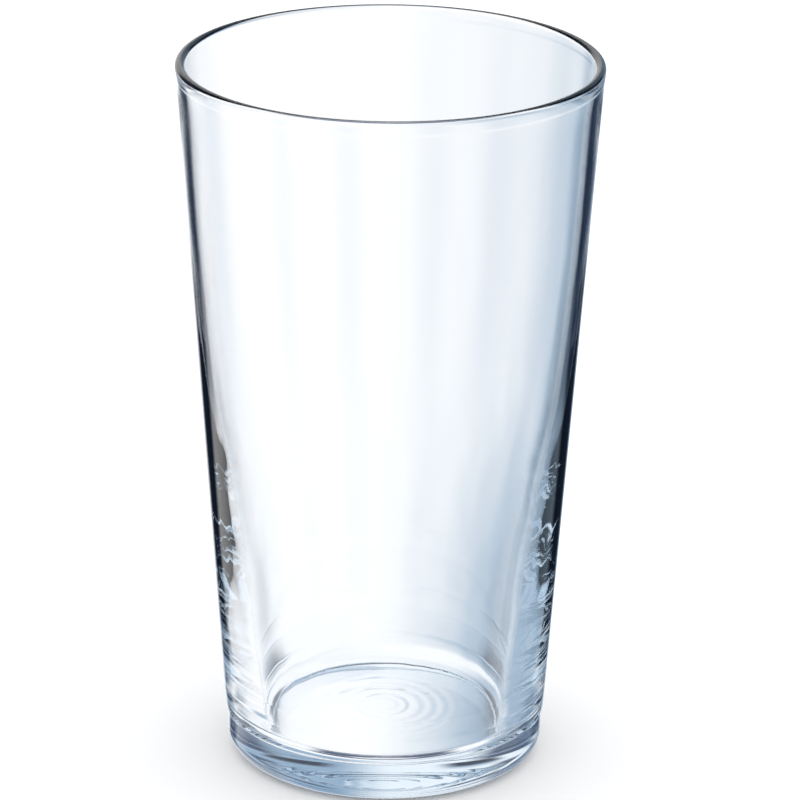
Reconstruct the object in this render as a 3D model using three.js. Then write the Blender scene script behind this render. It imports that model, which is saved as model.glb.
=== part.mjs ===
// A straight-sided conical pint glass, pressed and blown in one piece of clear soda-lime glass.
//
// Units are millimetres and +Z is up. The origin is on the glass's axis, in the plane of the table it
// stands on. The whole glass is one solid of revolution: a foot ring round a shallow hollow, a small
// rounded heel, a mould seam, a plain cone up to a fire-polished lip with a slight bead, and an inner
// wall that is thin at the top and thickens steadily into the heavy base.

import * as THREE from "three";

// Overall size.
const HEIGHT = 151.4; // table to the top of the lip
const RIM_RADIUS = 44; // widest radius, at the bead of the lip

// Outside of the wall.
const SEAM_HEIGHT = 10; // mould seam above the heel
const SEAM_RADIUS = 33.93;
const BEAD_STAND = 0.08; // how far the bead stands proud of the cone
const BEAD_DROP = 2.3; // height over which the bead fades back into the cone

// Lip, a half round seen in section.
const LIP_ROUNDING = 1;

// Heel and foot.
const HEEL_RADIUS = 33.4; // where the straight band under the seam meets the heel's curve
const HEEL_ROUNDING = 4.6;
const FOOT_WIDTH = 2.4; // flat ring that touches the table
const FOOT_STEP = 0.4; // rise of the little curve inside the foot ring
const HOLLOW_HEIGHT = 1.5; // height of the underside at the axis

// Inside of the bowl.
const FLOOR_HEIGHT = 8.2;
const FLOOR_FILLET = 3; // rounding between the floor and the wall
const WALL_STATIONS = [
  // Wall thickness, measured level with the table, at heights above it.
  { height: FLOOR_HEIGHT + FLOOR_FILLET, thickness: 7.2 },
  { height: 24, thickness: 6.4 },
  { height: 40, thickness: 5.5 },
  { height: 60, thickness: 3.9 },
  { height: 80, thickness: 2.55 },
  { height: 105, thickness: 2 },
  { height: 136, thickness: 2 },
  { height: HEIGHT - LIP_ROUNDING, thickness: 2 * LIP_ROUNDING },
];

// How finely the curves are divided.
const TURN_STEPS = 72;
const ARC_STEPS = 5;
const WALL_STEPS = 14;
const BEAD_STEPS = 3;

const GLASS_COLOR = 0xdfeaf0;

/** Outside radius of the plain cone at a height, without the bead. */
function coneRadius(height) {
  const top = RIM_RADIUS - BEAD_STAND;
  const share = (height - SEAM_HEIGHT) / (HEIGHT - LIP_ROUNDING - SEAM_HEIGHT);
  return THREE.MathUtils.lerp(SEAM_RADIUS, top, share);
}

/** Points along a circular arc in the profile plane, both ends included. Angles are in degrees. */
function arc(centreX, centreY, radius, fromDeg, toDeg, steps = ARC_STEPS) {
  const points = [];
  for (let i = 0; i <= steps; i++) {
    const angle = THREE.MathUtils.degToRad(THREE.MathUtils.lerp(fromDeg, toDeg, i / steps));
    points.push(new THREE.Vector2(centreX + radius * Math.cos(angle), centreY + radius * Math.sin(angle)));
  }
  return points;
}

/** The underside, from the axis out to the edge of the foot ring. */
function undersideProfile() {
  const footOuter = HEEL_RADIUS - HEEL_ROUNDING;
  const footInner = footOuter - FOOT_WIDTH;
  const domeRadius = footInner - FOOT_STEP;
  const points = [new THREE.Vector2(0, HOLLOW_HEIGHT)];
  for (let i = 1; i <= ARC_STEPS; i++) {
    const share = i / ARC_STEPS;
    const height = THREE.MathUtils.lerp(HOLLOW_HEIGHT, FOOT_STEP, share * share);
    points.push(new THREE.Vector2(domeRadius * share, height));
  }
  points.push(...arc(domeRadius, 0, FOOT_STEP, 90, 0, 3).slice(1));
  return points;
}

/** The outside, from the foot ring round the heel and up the cone to the start of the bead. */
function outsideProfile() {
  const heel = arc(HEEL_RADIUS - HEEL_ROUNDING, HEEL_ROUNDING, HEEL_ROUNDING, -90, 0);
  const beadFoot = HEIGHT - LIP_ROUNDING - BEAD_DROP;
  return [
    ...heel,
    new THREE.Vector2(SEAM_RADIUS, SEAM_HEIGHT),
    new THREE.Vector2(coneRadius(beadFoot), beadFoot),
  ];
}

/** The bead, which swells out of the cone, and the half-round lip over it. */
function lipProfile() {
  const crest = HEIGHT - LIP_ROUNDING;
  const points = [];
  for (let i = 1; i < BEAD_STEPS; i++) {
    const share = i / BEAD_STEPS;
    const height = crest - BEAD_DROP * (1 - share);
    points.push(new THREE.Vector2(coneRadius(height) + BEAD_STAND * THREE.MathUtils.smoothstep(share, 0, 1), height));
  }
  points.push(...arc(RIM_RADIUS - LIP_ROUNDING, crest, LIP_ROUNDING, 0, 180, 2 * ARC_STEPS));
  return points;
}

/** The inside, from under the lip down the wall, round the fillet and across the floor to the axis. */
function insideProfile() {
  const stations = WALL_STATIONS.map(({ height, thickness }) => {
    const outside = height > HEIGHT - BEAD_DROP ? RIM_RADIUS : coneRadius(height);
    return new THREE.Vector2(outside - thickness, height);
  });
  const wall = new THREE.SplineCurve(stations.reverse()).getPoints(WALL_STEPS).slice(1);
  const filletEdge = wall.at(-1);
  const fillet = arc(filletEdge.x - FLOOR_FILLET, filletEdge.y, FLOOR_FILLET, 0, -90);
  return [...wall, ...fillet.slice(1), new THREE.Vector2(0, FLOOR_HEIGHT)];
}

/** The whole glass as one closed solid of revolution. */
function makeGlassBody() {
  const profile = [...undersideProfile(), ...outsideProfile(), ...lipProfile(), ...insideProfile()];
  const geometry = new THREE.LatheGeometry(profile, TURN_STEPS);
  geometry.rotateX(Math.PI / 2);
  const material = new THREE.MeshStandardMaterial({
    color: GLASS_COLOR,
    roughness: 0.03,
    metalness: 0,
    transparent: true,
    opacity: 0.35,
  });
  const mesh = new THREE.Mesh(geometry, material);
  mesh.name = "glass_body";
  return mesh;
}

const pintGlass = new THREE.Group();
pintGlass.name = "pint_glass";
pintGlass.add(makeGlassBody());

export default pintGlass;
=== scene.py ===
"""A conical pint glass in clear soda-lime glass, standing on a pale studio floor."""

import logging
import math
from dataclasses import dataclass, field
from enum import Enum

import bpy
from mathutils import Matrix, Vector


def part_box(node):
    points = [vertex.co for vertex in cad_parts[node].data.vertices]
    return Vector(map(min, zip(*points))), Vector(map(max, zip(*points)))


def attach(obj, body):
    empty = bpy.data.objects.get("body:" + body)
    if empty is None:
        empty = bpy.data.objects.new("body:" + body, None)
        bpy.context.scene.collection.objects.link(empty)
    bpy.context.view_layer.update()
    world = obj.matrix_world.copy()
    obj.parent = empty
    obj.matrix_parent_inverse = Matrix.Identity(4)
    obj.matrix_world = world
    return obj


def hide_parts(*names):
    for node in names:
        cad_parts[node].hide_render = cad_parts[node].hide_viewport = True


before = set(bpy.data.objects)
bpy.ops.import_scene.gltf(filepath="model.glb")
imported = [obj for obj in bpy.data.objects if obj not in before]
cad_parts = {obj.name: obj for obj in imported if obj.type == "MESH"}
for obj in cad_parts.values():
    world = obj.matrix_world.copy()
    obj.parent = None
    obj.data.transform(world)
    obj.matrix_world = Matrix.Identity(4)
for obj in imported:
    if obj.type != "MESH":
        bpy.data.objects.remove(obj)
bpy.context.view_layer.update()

MM = 0.001
MOST_BOUNCES = 32
MOST_GLOSSY_BOUNCES = 16
log = logging.getLogger("pint_glass")

Point = tuple[float, float]
Colour = tuple[float, float, float]
Socket = bpy.types.NodeSocket


class Skin(Enum):
    """The faces of the wall, which the tools of the glassworks touch differently."""

    INSIDE = "inside_skin"
    OUTSIDE = "outside_skin"


def smooth(share: float) -> float:
    """Eases a share from 0 to 1, flat at both ends."""
    share = min(max(share, 0.0), 1.0)
    return share * share * (3 - 2 * share)


def mix(low: float, high: float, share: float) -> float:
    """The value that lies a share of the way from low to high."""
    return low + (high - low) * share


def bump(place: float, middle: float, width: float) -> float:
    """A smooth hump of height 1 at its middle, gone at its width on both sides."""
    return smooth(1 - abs(place - middle) / width)


def arc(centre: Point, radius: float, start_deg: float, end_deg: float, steps: int) -> list[Point]:
    """Points along an arc in the outline's plane.

    Args:
        centre: Radius and height of the arc's centre.
        radius: The arc's own radius.
        start_deg: Angle of the first point, from straight outwards.
        end_deg: Angle of the last point.
        steps: How many pieces the arc is cut into.

    Returns:
        The points, both ends included.
    """
    angles = [math.radians(mix(start_deg, end_deg, i / steps)) for i in range(steps + 1)]
    return [(centre[0] + radius * math.cos(a), centre[1] + radius * math.sin(a)) for a in angles]


def hermite(stations: list[Point], at: float) -> float:
    """A smooth curve through stations, read at one place.

    Args:
        stations: Pairs of place and value, with the places rising.
        at: The place to read.

    Returns:
        The value there, with the curve held level beyond its ends.
    """
    if at <= stations[0][0]:
        return stations[0][1]
    if at >= stations[-1][0]:
        return stations[-1][1]
    slopes = []
    for i in range(len(stations)):
        before, after = stations[max(i - 1, 0)], stations[min(i + 1, len(stations) - 1)]
        slopes.append((after[1] - before[1]) / (after[0] - before[0]))
    i = max(k for k in range(len(stations) - 1) if stations[k][0] <= at)
    (x0, y0), (x1, y1) = stations[i], stations[i + 1]
    width = x1 - x0
    t = (at - x0) / width
    return (
        y0 * (1 + 2 * t) * (1 - t) ** 2
        + slopes[i] * width * t * (1 - t) ** 2
        + y1 * t * t * (3 - 2 * t)
        - slopes[i + 1] * width * t * t * (1 - t)
    )


class NodeBoard:
    """Short ways to place and wire the nodes of one node tree."""

    def __init__(self, tree: bpy.types.NodeTree) -> None:
        """Keeps the tree that the nodes go into."""
        self.tree = tree

    def feed(self, socket: Socket, value: Socket | float | Colour) -> None:
        """Gives a socket a link or a constant.

        Args:
            socket: The input.
            value: What it takes: another node's output, a number or a colour.
        """
        if isinstance(value, bpy.types.NodeSocket):
            self.tree.links.new(value, socket)
        elif isinstance(value, tuple) and socket.type == "RGBA":
            socket.default_value = (*value, 1.0)
        else:
            socket.default_value = value

    def maths(self, operation: str, first: Socket | float, second: Socket | float = 0.0) -> Socket:
        """Places a Math node.

        Args:
            operation: What it works out.
            first: Its first value.
            second: Its second value.

        Returns:
            The result.
        """
        node = self.tree.nodes.new("ShaderNodeMath")
        node.operation = operation
        self.feed(node.inputs[0], first)
        self.feed(node.inputs[1], second)
        return node.outputs[0]

    def rise(self, value: Socket, low: float, high: float) -> Socket:
        """Places a Map Range node that eases from 0 to 1.

        Args:
            value: What it reads.
            low: Where it leaves 0.
            high: Where it reaches 1.

        Returns:
            The share.
        """
        node = self.tree.nodes.new("ShaderNodeMapRange")
        node.interpolation_type = "SMOOTHSTEP"
        self.feed(node.inputs["Value"], value)
        node.inputs["From Min"].default_value = low
        node.inputs["From Max"].default_value = high
        return node.outputs["Result"]

    def blend(self, share: Socket, first: Socket | Colour, second: Socket | Colour) -> Socket:
        """Places a Mix node for two colours.

        Args:
            share: How far it goes to the second.
            first: The colour at 0.
            second: The colour at 1.

        Returns:
            The mixed colour.
        """
        node = self.tree.nodes.new("ShaderNodeMix")
        node.data_type = "RGBA"
        colours = [socket for socket in node.inputs if socket.type == "RGBA"]
        self.feed(node.inputs["Factor"], share)
        self.feed(colours[0], first)
        self.feed(colours[1], second)
        return next(socket for socket in node.outputs if socket.type == "RGBA")

    def span(self, value: Socket, ends: tuple[float, float], softness: float) -> Socket:
        """Wires a mask that is 1 between two ends and eases to 0 past both.

        Args:
            value: What it reads.
            ends: The lower and the upper end.
            softness: How far the easing reaches to each side of an end.

        Returns:
            The mask.
        """
        rising = self.rise(value, ends[0] - softness, ends[0] + softness)
        falling = self.rise(value, ends[1] - softness, ends[1] + softness)
        return self.maths("SUBTRACT", rising, falling)


@dataclass(frozen=True)
class SoftMottle:
    """Slow, uneven clouding of a surface, shared by every material."""

    name: str = "soft_mottle"
    broad_share: float = 0.7
    fine_ratio: float = 4.0

    def group(self) -> bpy.types.NodeTree:
        """Finds the shared node group, or builds it the first time.

        Returns:
            The group: it takes Place and Scale and gives Mask.
        """
        if self.name in bpy.data.node_groups:
            return bpy.data.node_groups[self.name]
        tree = bpy.data.node_groups.new(self.name, "ShaderNodeTree")
        tree.interface.new_socket("Place", in_out="INPUT", socket_type="NodeSocketVector")
        tree.interface.new_socket("Scale", in_out="INPUT", socket_type="NodeSocketFloat")
        tree.interface.new_socket("Mask", in_out="OUTPUT", socket_type="NodeSocketFloat")
        board = NodeBoard(tree)
        entry = tree.nodes.new("NodeGroupInput")
        broad = tree.nodes.new("ShaderNodeTexNoise")
        fine = tree.nodes.new("ShaderNodeTexNoise")
        board.feed(broad.inputs["Vector"], entry.outputs["Place"])
        board.feed(broad.inputs["Scale"], entry.outputs["Scale"])
        board.feed(fine.inputs["Vector"], entry.outputs["Place"])
        board.feed(fine.inputs["Scale"], board.maths("MULTIPLY", entry.outputs["Scale"], self.fine_ratio))
        slow = board.maths("MULTIPLY", broad.outputs[0], self.broad_share)
        quick = board.maths("MULTIPLY", fine.outputs[0], 1 - self.broad_share)
        leave = tree.nodes.new("NodeGroupOutput")
        board.feed(leave.inputs["Mask"], board.maths("ADD", slow, quick))
        return tree

    def place(self, board: NodeBoard, scale: float) -> Socket:
        """Places the group in a material, on Object coordinates.

        Args:
            board: The material's nodes.
            scale: How many clouds lie along a metre.

        Returns:
            The mask.
        """
        coords = board.tree.nodes.new("ShaderNodeTexCoord")
        node = board.tree.nodes.new("ShaderNodeGroup")
        node.node_tree = self.group()
        board.feed(node.inputs["Place"], coords.outputs["Object"])
        board.feed(node.inputs["Scale"], scale)
        return node.outputs["Mask"]


@dataclass
class Foot:
    """The underside: a flat ring to stand on, round a shallow hollow."""

    outer: float = 28.8
    hollow_radius: float = 26.4
    hollow_edge: float = 0.4
    hollow_height: float = 1.5
    dome_steps: int = 16
    edge_steps: int = 6

    def points(self) -> list[Point]:
        """Outline of the underside.

        Returns:
            The points from the axis out to the middle of the standing ring.
        """
        dome = self.hollow_radius - self.hollow_edge
        points = []
        for i in range(self.dome_steps + 1):
            share = i / self.dome_steps
            points.append((dome * share, mix(self.hollow_height, self.hollow_edge, share * share)))
        points += arc((dome, 0.0), self.hollow_edge, 90, 0, self.edge_steps)[1:]
        points.append(((self.hollow_radius + self.outer) / 2, 0.0))
        return points


@dataclass
class FloorRipples:
    """The rings that the plunger leaves on the floor of the bowl."""

    ring_radius: float = 5.4
    ring_width: float = 0.9
    ring_stand: float = 0.06
    wave: float = 2.7
    wave_height: float = 0.02
    reach: float = 18.0
    outer_fade: float = 6.0
    inner_fade: float = 4.0

    def lift(self, radius: float) -> float:
        """How far the floor stands above its level.

        Args:
            radius: Distance from the axis.

        Returns:
            The lift there: fading waves, and one ring.
        """
        fade = smooth((self.reach - radius) / self.outer_fade) * smooth(radius / self.inner_fade)
        waves = self.wave_height * math.sin(math.tau * radius / self.wave) * fade
        return waves + self.ring_stand * bump(radius, self.ring_radius, self.ring_width)


@dataclass
class GlassOutline:
    """The section of the glass from its axis outwards, in millimetres."""

    height: float
    rim_radius: float
    seam_height: float = 10.0
    seam_radius: float = 33.93
    seam_step: float = 0.9
    bead_stand: float = 0.08
    bead_drop: float = 2.3
    bead_fade: float = 0.8
    lip_rounding: float = 1.0
    heel_radius: float = 33.4
    heel_rounding: float = 4.6
    floor_height: float = 8.2
    floor_fillet: float = 3.0
    mould_ring_width: float = 0.45
    mould_rings: list[Point] = field(default_factory=lambda: [(14.5, 0.014), (19.0, 0.012)])
    wall_thickness: list[Point] = field(
        default_factory=lambda: [
            (11.2, 7.2), (24.0, 6.4), (40.0, 5.5), (60.0, 3.9), (80.0, 2.55), (105.0, 2.0), (136.0, 2.0),
        ]
    )
    cone_start: float = 21.0
    heel_steps: int = 14
    seam_steps: int = 8
    mould_ring_half_steps: int = 3
    cone_steps: int = 36
    bead_steps: int = 8
    lip_steps: int = 16
    inner_wall_steps: int = 110
    fillet_steps: int = 10
    floor_steps: int = 66
    foot: Foot = field(default_factory=Foot)
    ripples: FloorRipples = field(default_factory=FloorRipples)

    def crest(self) -> float:
        """Height of the middle of the lip's rounding."""
        return self.height - self.lip_rounding

    def cone(self, height: float) -> float:
        """Outside radius of the plain cone at a height."""
        top = self.rim_radius - self.bead_stand
        return mix(self.seam_radius, top, (height - self.seam_height) / (self.crest() - self.seam_height))

    def outside(self, height: float) -> float:
        """Outside radius of the wall at a height.

        Args:
            height: Height above the table.

        Returns:
            The radius, with the step under the seam, the mould rings and the rim bead.
        """
        share = smooth((height - self.seam_height + self.seam_step) / self.seam_step)
        wall = mix(self.heel_radius, self.cone(height), share)
        rings = sum(stand * bump(height, at, self.mould_ring_width) for at, stand in self.mould_rings)
        bead = self.bead_stand * smooth((height - self.crest() + self.bead_drop) / self.bead_fade)
        return wall + rings + bead

    def inside(self, height: float) -> float:
        """Inside radius of the wall at a height."""
        stations = [*self.wall_thickness, (self.crest(), 2 * self.lip_rounding - self.bead_stand)]
        return self.cone(height) - hermite(stations, height)

    def outer_wall(self) -> list[Point]:
        """Outline of the outside.

        Returns:
            The points round the heel, over the seam and its rings and up to the crest.
        """
        centre = (self.heel_radius - self.heel_rounding, self.heel_rounding)
        heel = arc(centre, self.heel_rounding, -90, 0, self.heel_steps)
        start = self.seam_height - self.seam_step
        heights = [mix(start, self.seam_height, i / self.seam_steps) for i in range(self.seam_steps + 1)]
        half = self.mould_ring_half_steps
        for at, _ in self.mould_rings:
            heights += [at + self.mould_ring_width * i / half for i in range(-half, half + 1)]
        bead = self.crest() - self.bead_drop
        heights += [mix(self.cone_start, bead, i / self.cone_steps) for i in range(self.cone_steps + 1)]
        bead_top = bead + self.bead_fade
        heights += [mix(bead, bead_top, i / self.bead_steps) for i in range(1, self.bead_steps + 1)]
        return [*heel, *[(self.outside(z), z) for z in heights]]

    def lip(self) -> list[Point]:
        """The half-round lip."""
        centre = (self.rim_radius - self.lip_rounding, self.crest())
        return arc(centre, self.lip_rounding, 0, 180, self.lip_steps)

    def inner_wall(self) -> list[Point]:
        """Outline of the inside of the wall.

        Returns:
            The points from under the lip down to the top of the fillet.
        """
        bottom = self.floor_height + self.floor_fillet
        rows = self.inner_wall_steps
        heights = [mix(self.crest(), bottom, i / rows) for i in range(1, rows + 1)]
        return [(self.inside(z), z) for z in heights]

    def floor(self) -> list[Point]:
        """Outline of the bowl's bottom.

        Returns:
            The points round the fillet and across the rippled floor to the axis.
        """
        edge = self.inside(self.floor_height + self.floor_fillet)
        centre = (edge - self.floor_fillet, self.floor_height + self.floor_fillet)
        fillet = arc(centre, self.floor_fillet, 0, -90, self.fillet_steps)[1:]
        steps = self.floor_steps
        radii = [centre[0] * (1 - i / steps) for i in range(1, steps + 1)]
        return [*fillet, *[(r, self.floor_height + self.ripples.lift(r)) for r in radii]]

    def points(self) -> list[Point]:
        """The whole outline, from the axis underneath to the axis on the floor."""
        return [*self.foot.points(), *self.outer_wall(), *self.lip(), *self.inner_wall(), *self.floor()]


@dataclass(frozen=True)
class Waviness:
    """Unevenness that blowing and cooling leave in one skin of the wall."""

    skin: Skin
    size: float
    stretch: float
    swing: float
    seed_shift: float

    def press(self, body: bpy.types.Object) -> None:
        """Presses the unevenness into the skin.

        Args:
            body: The glass, with a vertex group for each skin.
        """
        texture = bpy.data.textures.new(f"{self.skin.value}_{self.size:g}", "CLOUDS")
        texture.noise_scale = self.size * MM
        texture.noise_depth = 1
        texture.noise_basis = "IMPROVED_PERLIN"
        guide = bpy.data.objects.new("waviness_guide", None)
        bpy.context.scene.collection.objects.link(guide)
        guide.location = (self.seed_shift * MM, 0, 0)
        guide.scale = (1, 1, self.stretch)
        bpy.context.view_layer.update()
        modifier = body.modifiers.new(texture.name, "DISPLACE")
        modifier.texture = texture
        modifier.texture_coords = "OBJECT"
        modifier.texture_coords_object = guide
        modifier.vertex_group = self.skin.value
        modifier.strength = self.swing * MM
        modifier.mid_level = 0.5
        bpy.context.view_layer.objects.active = body
        bpy.ops.object.modifier_apply(modifier=modifier.name)
        bpy.data.objects.remove(guide)


@dataclass
class GlassBody:
    """The one piece of glass: outline, turned body and finish."""

    name: str = "glass_shell"
    node: str = "glass_body"
    slot: str = "clear_glass"
    turn_steps: int = 256
    weld: float = 0.002 * MM
    calm_under_lip: float = 12.0
    outside_start: float = 20.0
    outside_fade: float = 10.0
    thin_wall_share: float = 0.10
    thin_wall_height: float = 95.0
    thin_wall_fade: float = 35.0
    calm_over_floor: float = 4.0
    floor_fade: float = 14.0
    waves: list[Waviness] = field(
        default_factory=lambda: [
            Waviness(Skin.INSIDE, size=10.0, stretch=3.0, swing=0.16, seed_shift=0.0),
            Waviness(Skin.INSIDE, size=3.0, stretch=1.6, swing=0.02, seed_shift=40.0),
            Waviness(Skin.OUTSIDE, size=5.0, stretch=4.0, swing=0.03, seed_shift=80.0),
        ]
    )

    def turn(self, outline: list[Point]) -> bpy.types.Object:
        """Draws the outline as a chain of edges and spins it round the axis.

        Args:
            outline: Radius and height of each point, in millimetres.

        Returns:
            The closed body, with its place in its mesh.
        """
        radius, height = outline[0]
        bpy.ops.object.select_all(action="DESELECT")
        bpy.ops.mesh.primitive_plane_add(size=MM, location=(radius * MM, 0, height * MM))
        body = bpy.context.object
        body.name = self.name
        bpy.ops.object.mode_set(mode="EDIT")
        bpy.ops.mesh.select_all(action="SELECT")
        bpy.ops.mesh.merge(type="CENTER")
        for before, after in zip(outline, outline[1:]):
            step = ((after[0] - before[0]) * MM, 0, (after[1] - before[1]) * MM)
            bpy.ops.mesh.extrude_vertices_move(TRANSFORM_OT_translate={"value": step})
        bpy.ops.mesh.select_all(action="SELECT")
        bpy.ops.mesh.spin(
            steps=self.turn_steps, angle=math.tau, center=(0, 0, 0), axis=(0, 0, 1), use_normal_flip=False
        )
        bpy.ops.mesh.select_all(action="SELECT")
        bpy.ops.mesh.remove_doubles(threshold=self.weld)
        bpy.ops.mesh.normals_make_consistent(inside=False)
        bpy.ops.object.mode_set(mode="OBJECT")
        bpy.ops.object.transform_apply(location=True, rotation=True, scale=True)
        bpy.ops.object.shade_smooth()
        return body

    def mark_skins(self, body: bpy.types.Object, shape: GlassOutline) -> None:
        """Weighs each point by how far it may wander from the turned shape.

        Args:
            body: The turned glass.
            shape: The outline that it was turned from.
        """
        groups = {skin: body.vertex_groups.new(name=skin.value) for skin in Skin}
        still = shape.floor_height + shape.floor_fillet
        for vertex in body.data.vertices:
            radius = math.hypot(vertex.co.x, vertex.co.y) / MM
            height = vertex.co.z / MM
            middle = (shape.inside(height) + shape.outside(height)) / 2
            if height > shape.crest() or height < shape.seam_height:
                continue
            top = smooth((shape.crest() - height) / self.calm_under_lip)
            if radius > middle:
                low = smooth((height - self.outside_start) / self.outside_fade)
                groups[Skin.OUTSIDE].add([vertex.index], top * low, "REPLACE")
            elif height > still:
                depth = smooth((self.thin_wall_height - height) / self.thin_wall_fade)
                thick = mix(self.thin_wall_share, 1.0, depth)
                calm = smooth((height - still - self.calm_over_floor) / self.floor_fade)
                groups[Skin.INSIDE].add([vertex.index], top * thick * calm, "REPLACE")

    def build(self) -> bpy.types.Object:
        """Makes the body, dresses it and hands it to the frame.

        Returns:
            The finished glass.
        """
        _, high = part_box(self.node)
        shape = GlassOutline(height=high.z / MM, rim_radius=high.x / MM)
        body = self.turn(shape.points())
        self.mark_skins(body, shape)
        for wave in self.waves:
            wave.press(body)
        body.data.materials.append(ClearGlass().material())
        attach(body, "root")
        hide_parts(self.node)
        return body


@dataclass(frozen=True)
class ClearGlass:
    """Clear soda-lime glass, fire-polished, with the faintest unevenness in its polish."""

    name: str = "clear_glass"
    ior: float = 1.52
    body_colour: Colour = (0.35, 0.62, 0.82)
    body_density: float = 6.0
    clouds_per_metre: float = 60.0
    clearest: Colour = (1.0, 1.0, 1.0)
    dullest: Colour = (0.985, 0.99, 0.992)
    most_haze: float = 0.012
    orange_peel: float = 0.004 * MM

    def material(self) -> bpy.types.Material:
        """Builds the material.

        Returns:
            The glass, with its body colour as absorption.
        """
        material = bpy.data.materials.new(self.name)
        material.use_nodes = True
        board = NodeBoard(material.node_tree)
        nodes = material.node_tree.nodes
        surface = nodes["Principled BSDF"]
        surface.inputs["IOR"].default_value = self.ior
        surface.inputs["Transmission Weight"].default_value = 1.0
        mottle = SoftMottle().place(board, self.clouds_per_metre)
        board.feed(surface.inputs["Base Color"], board.blend(mottle, self.clearest, self.dullest))
        board.feed(surface.inputs["Roughness"], board.maths("MULTIPLY", mottle, self.most_haze))
        peel = nodes.new("ShaderNodeBump")
        peel.inputs["Distance"].default_value = self.orange_peel
        board.feed(peel.inputs["Height"], mottle)
        board.feed(surface.inputs["Normal"], peel.outputs["Normal"])
        body = nodes.new("ShaderNodeVolumeAbsorption")
        body.inputs["Color"].default_value = (*self.body_colour, 1.0)
        body.inputs["Density"].default_value = self.body_density
        board.feed(nodes["Material Output"].inputs["Volume"], body.outputs[0])
        return material


@dataclass(frozen=True)
class PaleFloor:
    """Matt pale studio paper."""

    name: str = "pale_floor"
    clouds_per_metre: float = 3.0
    light: Colour = (0.925, 0.925, 0.925)
    dark: Colour = (0.912, 0.913, 0.915)
    smoothest: float = 0.85
    roughest: float = 0.95

    def material(self) -> bpy.types.Material:
        """Builds the material.

        Returns:
            The paper, very slightly uneven.
        """
        material = bpy.data.materials.new(self.name)
        material.use_nodes = True
        board = NodeBoard(material.node_tree)
        surface = material.node_tree.nodes["Principled BSDF"]
        surface.inputs["Specular IOR Level"].default_value = 0.0
        mottle = SoftMottle().place(board, self.clouds_per_metre)
        board.feed(surface.inputs["Base Color"], board.blend(mottle, self.light, self.dark))
        spread = board.maths("MULTIPLY", mottle, self.roughest - self.smoothest)
        board.feed(surface.inputs["Roughness"], board.maths("ADD", spread, self.smoothest))
        return material


class Cloth(Enum):
    """The cloths of the light tent."""

    WHITE = (0.97, 0.97, 0.98)
    SKY = (0.50, 0.60, 0.72)
    SLATE = (0.32, 0.43, 0.55)
    NAVY = (0.05, 0.08, 0.15)
    INK = (0.015, 0.025, 0.05)


@dataclass(frozen=True)
class Panel:
    """A panel hung in the white tent, with soft edges.

    Heights are degrees above the glass's own level. Bearings are degrees clockwise of the middle of
    each side of the square tent, or of the back side for a panel that hangs only once.
    """

    name: str
    cloth: Cloth
    bearing: tuple[float, float]
    height: tuple[float, float]
    softness: float
    every_side: bool = True


PAST_CORNER = 60.0
PANELS = (
    Panel("slate_side", Cloth.SLATE, (5, 60), (-45, 45), 8, every_side=False),
    Panel("left_drape", Cloth.SLATE, (-34, -17), (-28, -9), 7),
    Panel("right_drape", Cloth.SLATE, (16, 34), (-28, -9), 7),
    Panel("left_flag", Cloth.INK, (-36, -17), (-28, -15), 4, every_side=False),
    Panel("right_flag", Cloth.INK, (14, 38), (-28, -15), 4, every_side=False),
    Panel("left_corner", Cloth.NAVY, (-PAST_CORNER, -32), (-4, 14), 4),
    Panel("right_corner", Cloth.NAVY, (30, PAST_CORNER), (-4, 14), 4),
    # A navy band low under the horizon, seen through the base: painted shade standing in for the shadowed
    # table under the glass's foot.
    Panel("painted_shade_under_foot", Cloth.NAVY, (-PAST_CORNER, PAST_CORNER), (-75, -55), 4),
    Panel("left_curtain", Cloth.NAVY, (-110, -30), (12, 46), 8, every_side=False),
    Panel("right_curtain", Cloth.NAVY, (40, 130), (12, 46), 10, every_side=False),
    Panel("skylight", Cloth.SKY, (15, 165), (50, 100), 15, every_side=False),
)


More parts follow.
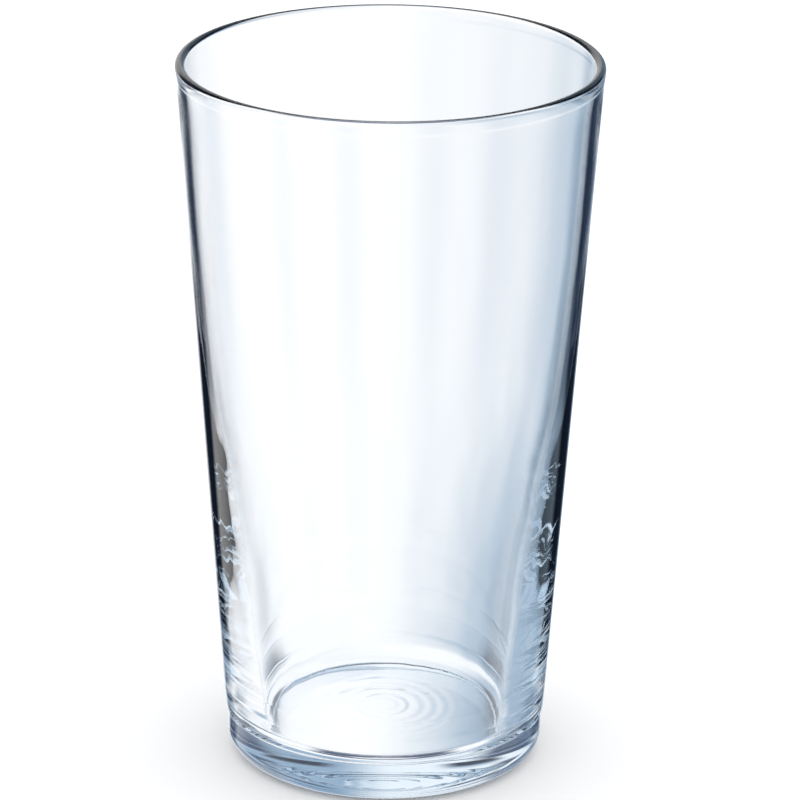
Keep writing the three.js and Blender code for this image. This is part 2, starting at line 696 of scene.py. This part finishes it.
@dataclass
class LightTent:
    """The soft white surround of the glass, with the dark flags that draw its edges and a navy band below
    the horizon that paints the shade under its foot.
    """

    strength: float = 1.12
    plain_strength: float = 1.45
    side_deg: float = 90.0
    panels: tuple[Panel, ...] = PANELS

    def colour(self, board: NodeBoard) -> Socket:
        """Wires the colour that the tent shows in each direction.

        Args:
            board: The world's nodes.

        Returns:
            The colour.
        """
        coords = board.tree.nodes.new("ShaderNodeTexCoord")
        split = board.tree.nodes.new("ShaderNodeSeparateXYZ")
        board.feed(split.inputs[0], coords.outputs["Generated"])
        x, y, z = split.outputs
        round_once = board.maths("DEGREES", board.maths("ARCTAN2", x, y))
        height = board.maths("DEGREES", board.maths("ARCSINE", z))
        half = self.side_deg / 2
        turned = board.maths("ADD", round_once, half)
        each_side = board.maths("SUBTRACT", board.maths("FLOORED_MODULO", turned, self.side_deg), half)
        shown = Cloth.WHITE.value
        for panel in self.panels:
            bearing = each_side if panel.every_side else round_once
            across = board.span(bearing, panel.bearing, panel.softness)
            upright = board.span(height, panel.height, panel.softness)
            shown = board.blend(board.maths("MULTIPLY", across, upright), shown, panel.cloth.value)
            shown.node.label = panel.name
        return shown

    def world(self) -> bpy.types.World:
        """Builds the tent round the scene.

        Returns:
            The world: the tent for the glass, and an even white for the eye and the floor.
        """
        world = bpy.data.worlds.new("light_tent")
        world.use_nodes = True
        bpy.context.scene.world = world
        board = NodeBoard(world.node_tree)
        board.tree.nodes.clear()
        tent = board.tree.nodes.new("ShaderNodeBackground")
        board.feed(tent.inputs["Color"], self.colour(board))
        tent.inputs["Strength"].default_value = self.strength
        plain = board.tree.nodes.new("ShaderNodeBackground")
        board.feed(plain.inputs["Color"], (1.0, 1.0, 1.0))
        plain.inputs["Strength"].default_value = self.plain_strength
        path = board.tree.nodes.new("ShaderNodeLightPath")
        seen = board.maths("MAXIMUM", path.outputs["Is Camera Ray"], path.outputs["Is Diffuse Ray"])
        choose = board.tree.nodes.new("ShaderNodeMixShader")
        board.feed(choose.inputs[0], seen)
        board.feed(choose.inputs[1], tent.outputs[0])
        board.feed(choose.inputs[2], plain.outputs[0])
        out = board.tree.nodes.new("ShaderNodeOutputWorld")
        board.feed(out.inputs[0], choose.outputs[0])
        return world


@dataclass
class Studio:
    """The pale floor and the camera."""

    distance: float = 0.950
    eye_height: float = 0.425
    pitch_deg: float = 20.08
    yaw_deg: float = 0.16
    roll_deg: float = 0.61
    lens: float = 217.7
    sensor: float = 36.0
    nearest: float = 0.01
    farthest: float = 50.0
    floor_size: float = 8.0
    floor_gap: float = 0.05 * MM

    def floor(self) -> bpy.types.Object:
        """Lays the floor.

        Returns:
            The floor, which the glass doesn't show, so that it shows the tent instead.
        """
        bpy.ops.object.select_all(action="DESELECT")
        bpy.ops.mesh.primitive_plane_add(size=self.floor_size, location=(0, 0, -self.floor_gap))
        floor = bpy.context.object
        floor.name = "studio_floor"
        bpy.ops.object.transform_apply(location=True, rotation=True, scale=True)
        floor.data.materials.append(PaleFloor().material())
        floor.visible_transmission = False
        floor.visible_glossy = False
        return floor

    def camera(self) -> bpy.types.Object:
        """Places the camera.

        Returns:
            The camera, which looks down on the glass from in front.
        """
        data = bpy.data.cameras.new("studio_camera")
        data.lens = self.lens
        data.sensor_width = self.sensor
        data.clip_start = self.nearest
        data.clip_end = self.farthest
        camera = bpy.data.objects.new("studio_camera", data)
        bpy.context.scene.collection.objects.link(camera)
        pitch, yaw, roll = (math.radians(a) for a in (self.pitch_deg, self.yaw_deg, self.roll_deg))
        camera.rotation_euler = (math.pi / 2 - pitch, 0, 0)
        camera.location = (0, -self.distance, self.eye_height)
        turn = camera.rotation_euler.to_matrix()
        turn = Matrix.Rotation(-yaw, 3, "Z") @ turn @ Matrix.Rotation(roll, 3, "Z")
        camera.rotation_euler = turn.to_euler()
        bpy.context.scene.camera = camera
        return camera


def main() -> None:
    """Builds the glass and the studio."""
    logging.basicConfig(level=logging.INFO, format="%(message)s")
    body = GlassBody().build()
    log.info("%s: %d faces", body.name, len(body.data.polygons))
    studio = Studio()
    studio.camera()
    floor = studio.floor()
    log.info("%s: %.1f m across", floor.name, studio.floor_size)
    tent = LightTent()
    world = tent.world()
    log.info("%s: %d panels", world.name, len(tent.panels))
    scene = bpy.context.scene
    scene.view_settings.view_transform = "Standard"
    scene.cycles.max_bounces = MOST_BOUNCES
    scene.cycles.transmission_bounces = MOST_BOUNCES
    scene.cycles.glossy_bounces = MOST_GLOSSY_BOUNCES


if __name__ == "__main__":
    main()
